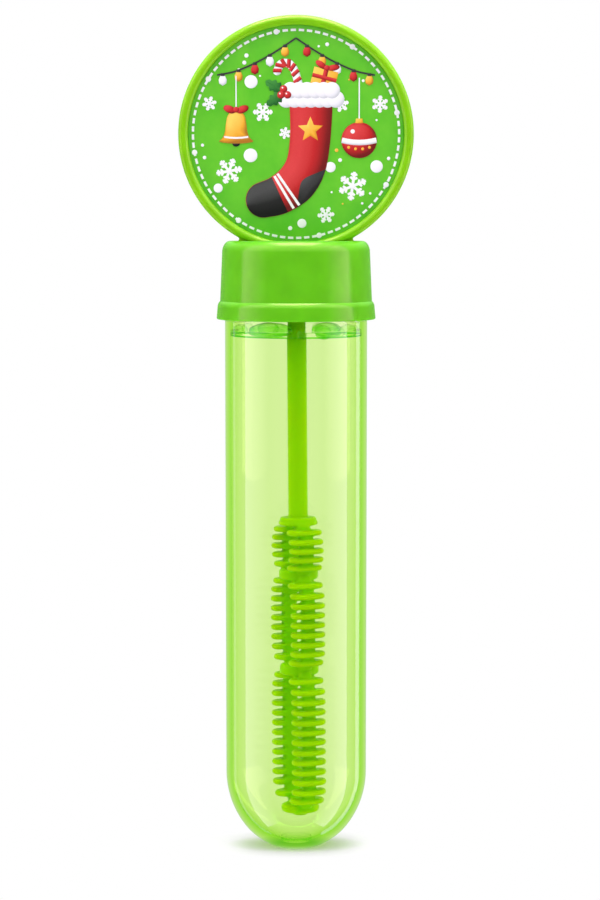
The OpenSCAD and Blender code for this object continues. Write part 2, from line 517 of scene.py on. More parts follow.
# core and rib are the two ends of the wand's painted light: rails darker, ribs lighter as lit through
wand_mat = wand_plastic("wand_plastic", core=(0.28, 0.66, 0.001), rib=(0.415, 0.68, 0.001))
froth_mat = clear_material("froth", 1.03, (0.50, 0.93, 0.0), density=12000, coat_ior=1.25)
liner_mat = foam_material("liner_foam")
ground_mat = label_ground("label_ground")

# Inks of the print: dark, middle and light
INKS = {
    "white": ((0.55, 0.58, 0.60), (0.80, 0.81, 0.82), (0.92, 0.92, 0.92)),
    "red": ((0.16, 0.004, 0.004), (0.50, 0.010, 0.012), (0.68, 0.05, 0.05)),
    "gold": ((0.40, 0.16, 0.008), (0.80, 0.38, 0.018), (0.95, 0.62, 0.10)),
    "charcoal": ((0.006, 0.006, 0.006), (0.016, 0.016, 0.016), (0.07, 0.07, 0.07)),
    "leaf": ((0.004, 0.06, 0.008), (0.012, 0.14, 0.018), (0.05, 0.27, 0.04)),
}
ink_mats = {ink: print_ink("ink_" + ink, *tints) for ink, tints in INKS.items()}


# Bottle, solution and bubbles

def dome(inset, pole_z, start_r):
    """Points up the round end's profile, inset from the outside, from a radius to the straight wall."""
    r = tube_r - inset
    side_r = tube_r * SIDE_SHARE - inset
    tip_r = tube_r * TIP_SHARE - inset
    turn = -math.degrees(math.acos((side_r - r) / (side_r - tip_r)))
    tip_z = pole_z + tip_r
    side_z = tip_z + math.sqrt((side_r - tip_r) ** 2 - (side_r - r) ** 2)
    start = -math.degrees(math.acos(start_r / tip_r))
    tip = arc((0, tip_z), tip_r, start, turn, 2 * ARC_STEPS)
    side = arc((r - side_r, side_z), side_r, turn, 0, 2 * ARC_STEPS)
    return tip + side[1:]


def straight_wall(radius, top_z):
    """Points up the straight wall, from above the round end."""
    return line((radius, STRAIGHT_Z), (radius, top_z), STRAIGHT_STEPS)


def make_bottle():
    """The clear tube with its round end, dimpled foot, shoulder and beaded neck."""
    neck_r = tube_r - NECK_INSET
    bore_r = neck_r - WALL
    band_r = tube_r - BAND_STEP
    tip_r = tube_r * TIP_SHARE
    foot_sag = tip_r - math.sqrt(tip_r ** 2 - FOOT_R ** 2)
    ball_r = (DIMPLE_R ** 2 + DIMPLE_DEPTH ** 2) / (2 * DIMPLE_DEPTH)
    rim_angle = math.degrees(math.acos(DIMPLE_R / ball_r))
    outer = arc((0, DIMPLE_DEPTH - ball_r), ball_r, 90, rim_angle)
    outer += dome(0, -foot_sag, FOOT_R)
    outer += straight_wall(tube_r, BAND_Z)
    outer += line((band_r, BAND_Z), (band_r, SHOULDER_Z - SHOULDER_ROUND), 2)
    outer += arc((band_r - SHOULDER_ROUND, SHOULDER_Z - SHOULDER_ROUND), SHOULDER_ROUND, 0, 90)
    outer += [(neck_r, SHOULDER_Z)]
    for share in BEAD_SHARES:
        bead_z = SHOULDER_Z + (lip_z - SHOULDER_Z) * share
        outer += arc((neck_r, bead_z), BEAD_OUT, -90, 90)
    outer += arc((neck_r - LIP_ROUND, lip_z - LIP_ROUND), LIP_ROUND, 0, 90)
    outer += arc((bore_r + LIP_ROUND, lip_z - LIP_ROUND), LIP_ROUND, 90, 180)
    inner = dome(WALL, FLOOR_T, 0) + straight_wall(tube_r - WALL, THROAT_Z)
    inner += [(bore_r, THROAT_Z + NECK_INSET)]
    shell = lathe("bottle_shell", outer + inner[::-1])
    return place(shell, "bottle", "clear_bottle", bottle_mat, "bottle")


def make_gate():
    """The round mark that moulding leaves in the floor of the tube."""
    low_z = GATE_Z - GATE_T
    gate = lathe("gate_mark", [(0, low_z), (GATE_R, low_z), (GATE_R, GATE_Z), (0, GATE_Z)])
    place(gate, "bottle", "clear_bottle", gate_mat)


LIQUID_OVERLAP = 0.35
FILM_SHARE = 0.02
FILM_SAG = 0.7
RING_DROP = 0.8
RING_R = 9.75
RING_HALF = 0.13
BUBBLE_DETAIL = 4

# Bubbles: middle, height over the surface, radius across and half height
BUBBLES = (
    (-3.9, -3.2, 0.05, 3.4, 1.2), (4.1, -5.4, -0.15, 1.3, 1.1),
    (-8.6, -2.6, 0.1, 1.15, 0.9), (-2.6, -8.1, -0.1, 0.9, 0.75),
    (4.6, -1.6, 0.05, 2.2, 1.2), (8.0, -3.0, 0.05, 1.3, 0.95),
    (6.6, -6.0, 0.0, 0.8, 0.8), (0.9, -7.4, -0.35, 0.75, 0.55),
    (9.0, 1.4, 0.0, 0.75, 0.7), (-9.0, 1.2, -0.1, 0.8, 0.8),
    (5.0, 4.6, 0.0, 2.1, 1.0), (-4.4, 5.0, 0.05, 1.7, 0.95),
    (0.2, 7.2, -0.1, 1.4, 0.9), (-7.6, 4.7, 0.0, 1.0, 0.85),
    (3.4, 8.4, 0.0, 0.9, 0.8), (-2.6, 8.4, -0.1, 0.9, 0.75),
)


def make_liquid():
    """The solution, which laps into the wall so that no film of air shows between them."""
    inset = WALL - LIQUID_OVERLAP
    profile = dome(inset, FLOOR_T - LIQUID_OVERLAP, 0)
    profile += straight_wall(tube_r - inset, surface_z)
    profile += [(0, surface_z)]
    place(lathe("liquid", profile), "bottle", "solution", liquid_mat, "bubble_solution")


def bubble_set(name, share, rise):
    """The bubbles as balls, shrunk to a share of their size and raised by a share of their height."""
    bm = bmesh.new()
    for x, y, up, r, half_h in BUBBLES:
        middle = Matrix.Translation((x, y, surface_z + up + half_h * rise))
        size = Matrix.Diagonal((r * share, r * share, half_h * share, 1))
        matrix = middle @ size
        bmesh.ops.create_icosphere(bm, subdivisions=BUBBLE_DETAIL, radius=1, matrix=matrix)
    return finish_mesh(name, bm)


def make_froth():
    """Films of bubbles, thicker below where solution gathers, and the line that it draws on the wall."""
    froth = bubble_set("froth", 1, 0)
    boolean(froth, bubble_set("cutter", 1 - FILM_SHARE, FILM_SHARE * FILM_SAG), "DIFFERENCE")
    bm = bmesh.new()
    bm.from_mesh(froth.data)
    ring = circle((RING_R, surface_z - RING_DROP), RING_HALF, ARC_STEPS)
    add_lathe(bm, ring, closed=True, matrix=Matrix.Scale(MM, 4))
    bm.to_mesh(froth.data)
    bm.free()
    froth.data.shade_smooth()
    place(froth, "bottle", "solution", froth_mat)


# Cap and disc

def make_cap():
    """The cap with its thumb flange, its bore, the stem's socket and the pocket of the disc's tongue."""
    flange_z = skirt_z + FLANGE_H
    top_r = CAP_R - CAP_DRAFT
    flange_top_r = flange_r - FLANGE_DRAFT
    outer = arc((COUNTER_R + EDGE_ROUND, skirt_z + EDGE_ROUND), EDGE_ROUND, 180, 270, 6)
    outer += arc((flange_r - EDGE_ROUND, skirt_z + EDGE_ROUND), EDGE_ROUND, -90, 0, 8)
    crease = math.degrees(math.acos((CAP_R - flange_top_r + FLANGE_ROUND) / FLANGE_ROUND))
    flange_mid = flange_z - FLANGE_ROUND * math.sin(math.radians(crease))
    outer += arc((flange_top_r - FLANGE_ROUND, flange_mid), FLANGE_ROUND, 0, crease)
    outer += [
        (top_r - CAP_ROUND * (1 - x), cap_z - CAP_ROUND_H * (1 - z)) for x, z in arc((0, 0), 1, 0, 90)
    ]
    outer += [(0, cap_z)]
    socket_z = ceiling_z - SOCKET_DEPTH
    inner = [(0, ceiling_z), (SOCKET_R, ceiling_z), (SOCKET_R, socket_z)]
    inner += [(SOCKET_OUT_R, socket_z), (SOCKET_OUT_R, ceiling_z), (CAP_BORE_R, ceiling_z)]
    inner += [(CAP_BORE_R, COUNTER_Z), (COUNTER_R, COUNTER_Z)]
    cap = lathe("cap_shell", outer + inner, closed=True)
    pocket = cut_box(TONGUE_W + 2 * TONGUE_FIT, disc_t + 2 * TONGUE_FIT, tongue_z, cap_z + 1)
    boolean(cap, pocket, "DIFFERENCE")
    place(cap, "wand_and_cap", "cap_plastic", cap_mat, "cap")


def disc_stand(angle):
    """Stands a lathed shape up in the middle of the disc, turned by an angle about X."""
    return Matrix.Translation((0, 0, disc_z)) @ Matrix.Rotation(math.radians(angle), 4, "X")


def disc_chord(drop):
    """Half the width of the disc at a height below its middle."""
    return math.sqrt(disc_r ** 2 - drop ** 2)


def disc_foot():
    """The tongue in the cap's pocket, with fillets that run up to the disc's edge."""
    drop = disc_z - cap_z
    reach = math.sqrt((disc_r + FOOT_FILLET) ** 2 - (drop - FOOT_FILLET) ** 2)
    lean = math.degrees(math.atan2(drop - FOOT_FILLET, reach))
    right = [(TONGUE_W / 2, tongue_z), (TONGUE_W / 2, cap_z)]
    right += arc((reach, cap_z + FOOT_FILLET), FOOT_FILLET, 270, 180 - lean, 10)
    right += [(disc_chord(drop - FOOT_SINK) - FOOT_SINK, cap_z + FOOT_SINK)]
    right += [(disc_chord(drop) * FOOT_SHARE, cap_z - FOOT_SINK)]
    outline = right + [(-x, z) for x, z in reversed(right)]
    half_t = disc_t / 2 - RIM_W / 4
    bm = bmesh.new()
    front = [bm.verts.new((x, -half_t, z)) for x, z in outline]
    back = [bm.verts.new((x, half_t, z)) for x, z in outline]
    bm.faces.new(front)
    bm.faces.new(back[::-1])
    skin(bm, [back, front])
    return finish_mesh("cutter", bm)


def make_disc():
    """The disc, with a raised rim and a recess on both sides, on its tongue."""
    half_t = disc_t / 2
    rim_round = RIM_W / 2
    recess_r = disc_r - RIM_W
    half_web = WEB_T / 2
    profile = [(0, -half_web)]
    profile += line((recess_r / 2, -half_web), (recess_r, -half_web), 4)
    profile += arc((disc_r - rim_round, -half_t + rim_round), rim_round, 180, 360)
    profile += arc((disc_r - rim_round, half_t - rim_round), rim_round, 0, 180)
    profile += line((recess_r, half_web), (recess_r / 2, half_web), 4)
    profile += [(0, half_web)]
    disc = lathe("disc_body", profile, segments=2 * SEGMENTS, matrix=disc_stand(90))
    boolean(disc, cut_box(2.2 * disc_r, 2 * disc_t, tongue_z, disc_z + 2 * disc_r), "INTERSECT")
    boolean(disc, disc_foot(), "UNION")
    place(disc, "wand_and_cap", "disc_plastic", disc_mat, "picture_disc")


def make_label(name, side):
    """A round label with a softened edge, on the front with side -1 and on the back with side 1."""
    film_r = label_r + LABEL_BLEED
    profile = [(0, label_back), (film_r, label_back)]
    profile += arc((film_r - LABEL_EDGE, label_face - LABEL_EDGE), LABEL_EDGE, 0, 90, 4)
    profile += [(label_r * share, label_face) for share in (0.75, 0.5, 0.25, 0)]
    film = lathe(name + "_film", profile, matrix=disc_stand(-90 * side))
    place(film, "wand_and_cap", "label_print", ground_mat, name)


# Wand, from its nub up: the loops' middles, the waists between them and the top of the head

foot_z = nub_z + NUB_H
loop_z = [foot_z + sum(LOOPS[:i]) + h / 2 - i * RAIL_T for i, h in enumerate(LOOPS)]
waist_z = [foot_z + sum(LOOPS[:i]) - (i - 0.5) * RAIL_T for i in range(1, len(LOOPS))]
head_top = foot_z + sum(LOOPS) - len(waist_z) * RAIL_T


def loop_half_h(h):
    """Half the height of a loop of outer height h, along the middle of its rail."""
    return (h - RAIL_T) / 2


def loop_half_d(h):
    """Half the width of that loop, less where it is too low for the full one."""
    return min(RAIL_HALF_D, loop_half_h(h) * LOOP_ROUND_SHARE)


def add_rail(bm, h, centre_z):
    """The closed rail of one loop, with a rounded section."""
    d = loop_half_d(h)
    straight = loop_half_h(h) - d
    path = arc((0, straight), d, 0, 180, 2 * ARC_STEPS)
    path += line((-d, straight), (-d, -straight), 10)[1:-1]
    path += arc((0, -straight), d, 180, 360, 2 * ARC_STEPS)
    path += line((d, -straight), (d, straight), 10)[1:-1]
    section = []
    for a, b in circle((0, 0), 1, 20):
        wide = math.copysign(abs(a) ** RAIL_SQUARE, a) * RAIL_W / 2
        thick = math.copysign(abs(b) ** RAIL_SQUARE, b) * RAIL_T / 2
        section.append((wide, thick))
    rings = []
    for i, (y, z) in enumerate(path):
        before, after = path[i - 1], path[(i + 1) % len(path)]
        along = Vector((0, after[0] - before[0], after[1] - before[1])).normalized()
        out = Vector((0, along.z, -along.y))
        points = [Vector((wide, y, centre_z + z)) + out * thick for wide, thick in section]
        rings.append([bm.verts.new(point) for point in points])
    skin(bm, rings + rings[:1])


def slot_outline(half, r, steps=12):
    """Outline of a flat shape with round ends, along X."""
    right = arc((half - r, 0), r, -90, 90, steps)
    left = arc((r - half, 0), r, 90, 270, steps)
    return right + left


def add_rib(bm, y, z, inner_y, side):
    """A level rib with a round edge, kept out of the loop's opening, whose edge is at inner_y."""
    layers = []
    edge = RIB_T / 2
    for angle in range(-90, 91, 18):
        inset = edge * (1 - math.cos(math.radians(angle)))
        height = z + edge * math.sin(math.radians(angle))
        ring = []
        for px, py in slot_outline(RIB_W / 2 - inset, RIB_D / 2 - inset):
            reach = side * max(y + side * py, inner_y)
            ring.append(bm.verts.new((px, reach, height)))
        layers.append(ring)
    skin(bm, layers)
    bm.faces.new(layers[0][::-1])
    bm.faces.new(layers[-1])


def add_ribs(bm, h, centre_z):
    """The two columns of ribs of one loop, up to where its rail bends away."""
    d = loop_half_d(h)
    straight = loop_half_h(h) - d
    reach = straight + d * math.sin(RIB_END)
    gaps = round(2 * reach / RIB_PITCH)
    inner_d = d - RAIL_T / 2
    for i in range(gaps + 1):
        z = reach * (2 * i / gaps - 1)
        bend = max(0, abs(z) - straight)
        y = math.sqrt(d ** 2 - bend ** 2)
        inner_y = math.sqrt(max(0, inner_d ** 2 - bend ** 2))
        for side in (-1, 1):
            add_rib(bm, y, centre_z + z, inner_y, side)


def round_bar(radius, low, high, edge):
    """Profile of an upright bar with rounded edges."""
    bottom = arc((radius - edge, low + edge), edge, -90, 0, 8)
    top = arc((radius - edge, high - edge), edge, 0, 90, 8)
    return [(0, low)] + bottom + top + [(0, high)]


def rail_distance(y, z):
    """How far a point in the head's plane is from the middle of the nearest rail."""
    nearest = math.inf
    for h, middle in zip(LOOPS, loop_z):
        d = loop_half_d(h)
        beyond = max(0, abs(z - middle) - loop_half_h(h) + d)
        nearest = min(nearest, abs(math.hypot(y, beyond) - d))
    return nearest


def clamp(value):
    """A value kept between 0 and 1."""
    return min(max(value, 0), 1)


def paint_wand_light(mesh):
    """Stores how light the plastic is painted at each point of the head and of the stem: lighter where thin,
    for light shining through, and darker up the stem as painted shade under the cap.
    """
    back = Matrix.Rotation(-HEAD_TURN, 3, "Z")
    shade_low, shade_high = STEM_SHADE
    thin = mesh.attributes.new("thin", "FLOAT", "POINT")
    for vert, value in zip(mesh.vertices, thin.data):
        x, y, z = back @ vert.co / MM
        if z >= head_top - COLLAR_H:
            # The stem fades to the rails' darker colour towards the cap: painted shade under the cap
            value.value = STEM_PAINTED_LIGHT * (1 - clamp((z - shade_low) / (shade_high - shade_low)))
        elif min(abs(z - at) for at in waist_z) < BOSS_H / 2 + VOXEL:
            value.value = WAIST_PAINTED_LIGHT
        else:
            out_x = (abs(x) - RAIL_W / 2) / RIB_OUT_X
            out_y = (rail_distance(y, z) - RAIL_T / 2) / RIB_OUT_Y
            value.value = clamp(max(out_x, out_y))


def make_wand():
    """Nub, ribbed loops, bosses, collars and stem, melted into one moulding that leans in its socket."""
    bm = bmesh.new()
    for h, centre_z in zip(LOOPS, loop_z):
        add_rail(bm, h, centre_z)
        add_ribs(bm, h, centre_z)
    collar_top = foot_z + COLLAR_H
    neck_z = head_top - COLLAR_H
    step_z = head_top - COLLAR_H / 2
    bars = [(BOSS_R, z - BOSS_H / 2, z + BOSS_H / 2, BOSS_EDGE) for z in waist_z]
    bars += [
        (BOSS_R, foot_z, collar_top, FOOT_EDGE),
        (BOSS_R, neck_z, step_z + COLLAR_LAP, COLLAR_EDGE),
        (BOSS_R * COLLAR_STEP, step_z - COLLAR_LAP, head_top, COLLAR_EDGE),
        (STEM_R, neck_z, ceiling_z, STEM_EDGE),
    ]
    for sizes in bars:
        add_lathe(bm, round_bar(*sizes), BAR_SEGMENTS)
    add_lathe(bm, round_bar(NUB_R, nub_z, collar_top, NUB_EDGE), NUB_SEGMENTS)
    turn = Matrix.Rotation(HEAD_TURN, 3, "Z")
    bmesh.ops.rotate(bm, cent=(0, 0, 0), matrix=turn, verts=bm.verts)
    wand = finish_mesh("wand_body", bm)
    remesh = wand.modifiers.new("remesh", "REMESH")
    remesh.mode = "VOXEL"
    remesh.voxel_size = VOXEL * MM
    remesh.use_smooth_shade = True
    smooth = wand.modifiers.new("smooth", "SMOOTH")
    smooth.factor = 0.5
    smooth.iterations = 2
    apply_modifiers(wand)
    paint_wand_light(wand.data)
    socket = Matrix.Translation((0, 0, ceiling_z * MM))
    wand.data.transform(socket @ Matrix.Rotation(-LEAN, 4, "Y") @ socket.inverted())
    place(wand, "wand_and_cap", "wand_plastic", wand_mat, "wand")


bottle = make_bottle()
make_gate()
make_liquid()
make_froth()
make_cap()
make_disc()
make_wand()
make_label("front_label", -1)
make_label("back_label", 1)

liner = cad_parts["seal_liner"]
liner.data.materials.clear()
liner.data.materials.append(liner_mat)


# Printed design, in millimetres from the middle of a label: u to the right and v up

PRINT_STEP = 0.012
PRINT_SINK = 0.03
SHEETS_PER_STEP = 60
PRINT_LIGHT = Vector((-0.45, 0.55, 0.70)).normalized()
CORD = (-1, -0.8, -0.45, 0, 0.45, 0.8, 1)
FLAT = (-1, 0, 1)
CORD_LEAN = 0.95
PAD_SHARES = (0.35, 0.65, 0.85, 1.0)
PAD_CURVE = 1.6
DOT_STEPS = 28
END_TURN = 89
TWIGS = ((0.45, 0.3), (0.72, 0.26))
TWIG_LEAN = 55
sheets = {ink: bmesh.new() for ink in INKS}
tones = {ink: sheet.verts.layers.float.new("tone") for ink, sheet in sheets.items()}
printed = 0


def tone_of(du, dv):
    """How light the ink is where the painted form leans by du and dv, each up to 1."""
    up = math.sqrt(max(0, 1 - du * du - dv * dv))
    return max(0, Vector((du, dv, up)).dot(PRINT_LIGHT))


def add_sheet(ink, grid, ring):
    """A thin closed sheet of ink on both labels, over rows of (u, v, tone) and above earlier sheets.

    With ring the rows are closed rings round a point; otherwise they cross a stroke.
    """
    global printed
    printed += 1
    bm, tone = sheets[ink], tones[ink]
    count = len(grid[-1])
    top = label_face + PRINT_STEP * (1 + printed / SHEETS_PER_STEP)
    for side in (-1, 1):
        edges = []
        for height in (top, label_face - PRINT_SINK):
            rows = []
            for row in grid:
                made = []
                for u, v, light in row:
                    vert = bm.verts.new((-side * u, side * height, disc_z + v))
                    vert[tone] = light
                    made.append(vert)
                rows.append(made if len(made) == count else made * count)
            skin(bm, rows, ring)
            if ring:
                edges.append(rows[-1])
            else:
                left = [row[0] for row in rows]
                right = [row[-1] for row in rows]
                edges.append(rows[0] + right[1:] + rows[-1][-2::-1] + left[-2:0:-1])
        skin(bm, edges)


def pad(ink, outline, lean=1.0):
    """A filled shape, painted as a cushion, whose outline is seen whole from its middle."""
    cu = sum(u for u, _ in outline) / len(outline)
    cv = sum(v for _, v in outline) / len(outline)
    grid = [[(cu, cv, tone_of(0, 0))]]
    for share in PAD_SHARES:
        row = []
        for u, v in outline:
            reach = math.hypot(u - cu, v - cv)
            slope = lean * share ** PAD_CURVE / reach
            light = tone_of((u - cu) * slope, (v - cv) * slope)
            row.append((cu + (u - cu) * share, cv + (v - cv) * share, light))
        grid.append(row)
    add_sheet(ink, grid, True)


def dot(ink, u, v, r, lean=0.9):
    """A round dot."""
    pad(ink, circle((u, v), r, DOT_STEPS), lean)


def both_sides(u, v, half):
    """An outline about (u, v), from the points down its right half."""
    return [(u + a, v + b) for a, b in half] + [(u - a, v + b) for a, b in half[-2:0:-1]]


def direction(path, i):
    """The direction of a path at one of its points."""
    before, after = path[max(i - 1, 0)], path[min(i + 1, len(path) - 1)]
    return Vector((after[0] - before[0], after[1] - before[1])).normalized()


def stroke(ink, path, section=CORD):
    """A line of ink along a path of (u, v, half width), painted flat or as a round cord."""
    lean = 0 if section == FLAT else CORD_LEAN
    grid = []
    for i, (u, v, half) in enumerate(path):
        along = direction(path, i)
        out_u, out_v = along.y, -along.x
        grid.append([
            (u + out_u * half * s, v + out_v * half * s, tone_of(out_u * s * lean, out_v * s * lean))
            for s in section
        ])
    add_sheet(ink, grid, False)


def round_end(path, steps=8):
    """The path with a round end added."""
    u, v, half = path[-1]
    along = direction(path, len(path) - 1) * half
    turns = [math.radians(END_TURN * (i + 1) / steps) for i in range(steps)]
    end = [(u + along.x * math.sin(a), v + along.y * math.sin(a), half * math.cos(a)) for a in turns]
    return path + end


def bar(ink, start, end, half, section=FLAT):
    """A straight line of ink with blunt ends."""
    stroke(ink, [(*start, half), (*end, half)], section)


def ray(centre, radius, angle):
    """The point at a distance from the centre, in a direction in degrees."""
    a = math.radians(angle)
    return centre[0] + radius * math.cos(a), centre[1] + radius * math.sin(a)


def star(ink, centre, radius, points=5, depth=0.45):
    """A star that points up, with its inner corners at a share of its radius."""
    reach = (radius, radius * depth) * points
    pad(ink, [ray(centre, r, 90 + i * 180 / points) for i, r in enumerate(reach)], 0.5)


def snowflake(centre, radius, turn):
    """Six arms with two pairs of twigs each."""
    half = 0.07 * radius + 0.06
    for angle in range(turn, turn + 360, 60):
        bar("white", centre, ray(centre, radius, angle), half)
        for share, twig in TWIGS:
            root = ray(centre, radius * share, angle)
            for lean in (-TWIG_LEAN, TWIG_LEAN):
                bar("white", root, ray(root, radius * twig, angle + lean), half * 0.85)
    dot("white", *centre, radius * 0.2, 0.4)


# Stocking: middle line and half width from the top to the toe
STOCKING = (
    (2.3, 5.4, 3.35), (2.3, 2.0, 3.2), (2.1, -1.5, 3.1), (1.5, -4.8, 3.1),
    (0.0, -7.4, 3.15), (-2.5, -9.2, 3.0), (-5.0, -10.0, 2.75),
)
TOE_POINTS = 9
HEEL_POINTS = slice(23, 38)
HEEL_INSET = 0.97
HEEL_DEPTH = 0.8
PATCH_SHARE = 0.985
SEAMS = (36, 38)
SEAM_SHARE = 0.95

# Rows of the cuff's tufts: count, first place, height and radius
CUFF_ROWS = ((7, -1.5, 5.35, 1.3), (6, -0.85, 6.7, 1.25))
CUFF_PITCH = 1.27


def print_stocking():
    """A stocking with a dark toe and heel, two seams, a star and a fluffy cuff."""
    leg = spline(STOCKING)
    stroke("red", round_end(leg))
    toe = [(u, v, half * PATCH_SHARE) for u, v, half in leg[-TOE_POINTS:]]
    stroke("charcoal", round_end(toe))
    heel = leg[HEEL_POINTS]
    edge, inner = [], []
    for i, (u, v, half) in enumerate(heel):
        along = direction(heel, i) * half
        reach = HEEL_INSET - HEEL_DEPTH * math.sin(math.pi * i / (len(heel) - 1))
        edge.append((u - along.y * PATCH_SHARE, v + along.x * PATCH_SHARE))
        inner.append((u - along.y * reach, v + along.x * reach))
    pad("charcoal", edge + inner[-2:0:-1], 0.6)
    for at in SEAMS:
        u, v, half = leg[at]
        along = direction(leg, at) * half * SEAM_SHARE
        bar("white", (u - along.y, v + along.x), (u + along.y, v - along.x), 0.2)
    star("gold", (2.2, 0.7), 2.0)
    for count, first, v, r in CUFF_ROWS:
        for i in range(count):
            dot("white", first + CUFF_PITCH * i, v, r, 0.85)


CANE = ((0.9, 6.0), (0.3, 8.0), (-0.25, 9.7), (-1.1, 10.75), (-2.3, 10.7), (-2.9, 9.6))
CANE_HALF = 0.62
STRIPE_SLANT = 0.4


def print_cane():
    """A striped cane that looks out of the stocking."""
    path = [(u, v, CANE_HALF) for u, v in spline(CANE)]
    stroke("white", round_end(path))
    for at in range(4, len(path) - 1, 5):
        u, v, half = path[at]
        along = direction(path, at) * half
        across_u = along.y + STRIPE_SLANT * along.x
        across_v = STRIPE_SLANT * along.y - along.x
        bar("red", (u - across_u, v - across_v), (u + across_u, v + across_v), 0.3, CORD)


GIFT_AT = Vector((4.3, 8.4))
GIFT_TURN = Matrix.Rotation(math.radians(-14), 2)
BOW = circle((0, 0), 1, 20)


def on_gift(u, v):
    """A point of the box, moved and turned to its place."""
    return tuple(GIFT_AT + GIFT_TURN @ Vector((u, v)))


def print_gift():
    """A small box with a ribbon, behind the stocking's cuff."""
    half, top = 1.9, 1.5
    right = ((0, top), (half, top), (half, 0), (half, -half), (0, -half))
    pad("gold", [on_gift(u, v) for u, v in both_sides(0, 0, right)], 0.45)
    bar("red", on_gift(0, -half), on_gift(0, top), 0.36, CORD)
    bar("red", on_gift(-half, 0.2), on_gift(half, 0.2), 0.3, CORD)
    for side in (-1, 1):
        pad("red", [on_gift(0.95 * (side + a), 2.0 + side * 0.3 * a + 0.5 * b) for a, b in BOW])
    dot("red", *on_gift(0, 1.75), 0.42)


HOLLY_AT = (-1.7, 6.4)
LEAF_L = 3.4
LEAF_HALF = 1.05
LEAF_STEPS = 8
LEAF_NOTCH = 0.62
BERRIES = ((-1.9, 6.9), (-1.3, 6.0), (-2.3, 6.0))


def print_holly():
    """Two spiky leaves and three berries at the cuff."""
    for angle in (150, 215):
        outline = []
        for side in (1, -1):
            for i in range(LEAF_STEPS + 1):
                share = i / LEAF_STEPS if side > 0 else 1 - i / LEAF_STEPS
                spike = 1 if i % 2 else LEAF_NOTCH
                half = LEAF_HALF * math.sin(math.pi * min(max(share, 0.04), 0.97)) ** 0.7 * spike
                along = ray(HOLLY_AT, LEAF_L * share, angle)
                outline.append(ray(along, half, angle + 90 * side))
        pad("leaf", outline, 0.7)
        bar("leaf", HOLLY_AT, ray(HOLLY_AT, 3.2, angle), 0.07)
    for u, v in BERRIES:
        dot("red", u, v, 0.58)
        dot("white", u - 0.18, v + 0.2, 0.13, 0.2)


CORD_HALF = 0.09


def print_bauble():
    """A ball on a cord at the right."""
    u, v, r = 9.7, -0.9, 2.75
    bar("white", (u, v + r), (u, 8.6), CORD_HALF)
    dot("red", u, v, r, 1.0)
    belt = (-2.66, -1.8, -0.9, 0, 0.9, 1.8, 2.66)
    stroke("white", [(u + x, v - 0.35 + 0.05 * x * x, 0.42) for x in belt])
    for x in (-1.6, -0.55, 0.55, 1.6):
        dot("gold", u + x, v - 1.35 + 0.1 * x * x, 0.22, 0.5)
    crown = ((-0.6, -0.15), (0.6, -0.15), (0.5, 0.55), (-0.5, 0.55))
    pad("gold", [(u + a, v + r + b) for a, b in crown], 0.6)
    dot("white", u - 1.0, v + 1.35, 0.33, 0.2)


BELL_SIDE = (
    (0.0, 2.7), (0.75, 2.55), (1.3, 1.9), (1.55, 0.8), (1.75, -0.6),
    (2.15, -1.5), (2.6, -2.0), (1.3, -2.25), (0.0, -2.3),
)


def print_bell():
    """A bell with a bow on a cord at the left."""
    u, v = -9.2, 0.9
    bar("white", (u, v + 2.6), (u, 8.9), CORD_HALF)
    dot("charcoal", u, v - 2.15, 0.62)
    pad("gold", both_sides(u, v, spline(BELL_SIDE, 4)))
    band = (-1.85, -0.9, 0, 0.9, 1.85)
    stroke("white", [(u + x, v - 1.25 - 0.05 * (4 - x * x), 0.14) for x in band], FLAT)
    for side in (-1, 1):
        pad("red", [(u + side * (1.0 + 0.95 * a), v + 2.9 + 0.25 * a + 0.6 * b) for a, b in BOW])
    dot("red", u, v + 2.85, 0.45)


SWAG = ((12.1, 9.0), (9.2, 9.6), (5.9, 11.0), (2.9, 12.7), (0.0, 14.6))
WIRE_HALF = 0.13
BULB_SIDE = ((0, 0.0), (0.35, -0.25), (0.62, -0.85), (0.55, -1.4), (0, -1.75))
BULB_INKS = ("white", "gold", "red")
BULB_SOCKET = ((-0.3, 0.15), (-0.3, -0.3), (0.3, -0.3), (0.3, 0.15))


def print_lights():
    """Two swags of small lamps along the top."""
    for side in (-1, 1):
        swag = spline([(side * u, v) for u, v in SWAG])
        stroke("charcoal", [(u, v, WIRE_HALF) for u, v in swag], FLAT)
        for i, at in enumerate(range(3, len(swag) - 2, 6)):
            u, v = swag[at]
            pad(BULB_INKS[(i + (side > 0)) % 3], both_sides(u, v, BULB_SIDE), 0.9)
            pad("charcoal", [(u + a, v + b) for a, b in BULB_SOCKET], 0.3)


# Snowflakes: middle, radius and turn
SNOWFLAKES = (
    (-10.3, -5.6, 2.0, 10), (8.7, -7.9, 2.2, 22), (-5.1, 3.4, 1.5, 0), (6.9, 4.6, 1.2, 15),
    (4.6, -12.3, 1.3, 5), (12.9, 4.6, 1.3, 28), (-13.3, 4.7, 1.1, 12), (-1.7, 0.2, 0.9, 20),
)

# Dots: middle and radius
DOTS = (
    (-7.0, -3.2, 1.05), (12.4, -4.9, 0.95), (-6.9, 8.0, 1.0),
    (5.3, -5.0, 0.8), (-12.0, -8.2, 0.7), (0.9, -13.6, 0.7),
)

STITCHES = 80
STITCH_R = 15.85
STITCH_SHARE = 0.66
STITCH_HALF = 0.18
KNOTS = (12, 57, 101, 148, 190, 236, 283, 331)
SPECKS = 70
SPECK_REACH = 14.8
SPECK_SIZES = (0.13, 0.34)
SPECK_GAP = 0.2

# Circles that stay free of specks
CLEAR_OF = (
    (2.3, 3.0, 5.0), (1.8, -3.0, 3.9), (0.2, -8.0, 3.8), (-4.6, -10.0, 3.8), (4.3, 8.8, 3.0),
    (-1.4, 9.0, 2.6), (-3.2, 6.2, 2.2), (9.7, -0.9, 3.1), (-9.2, 0.9, 3.2),
)


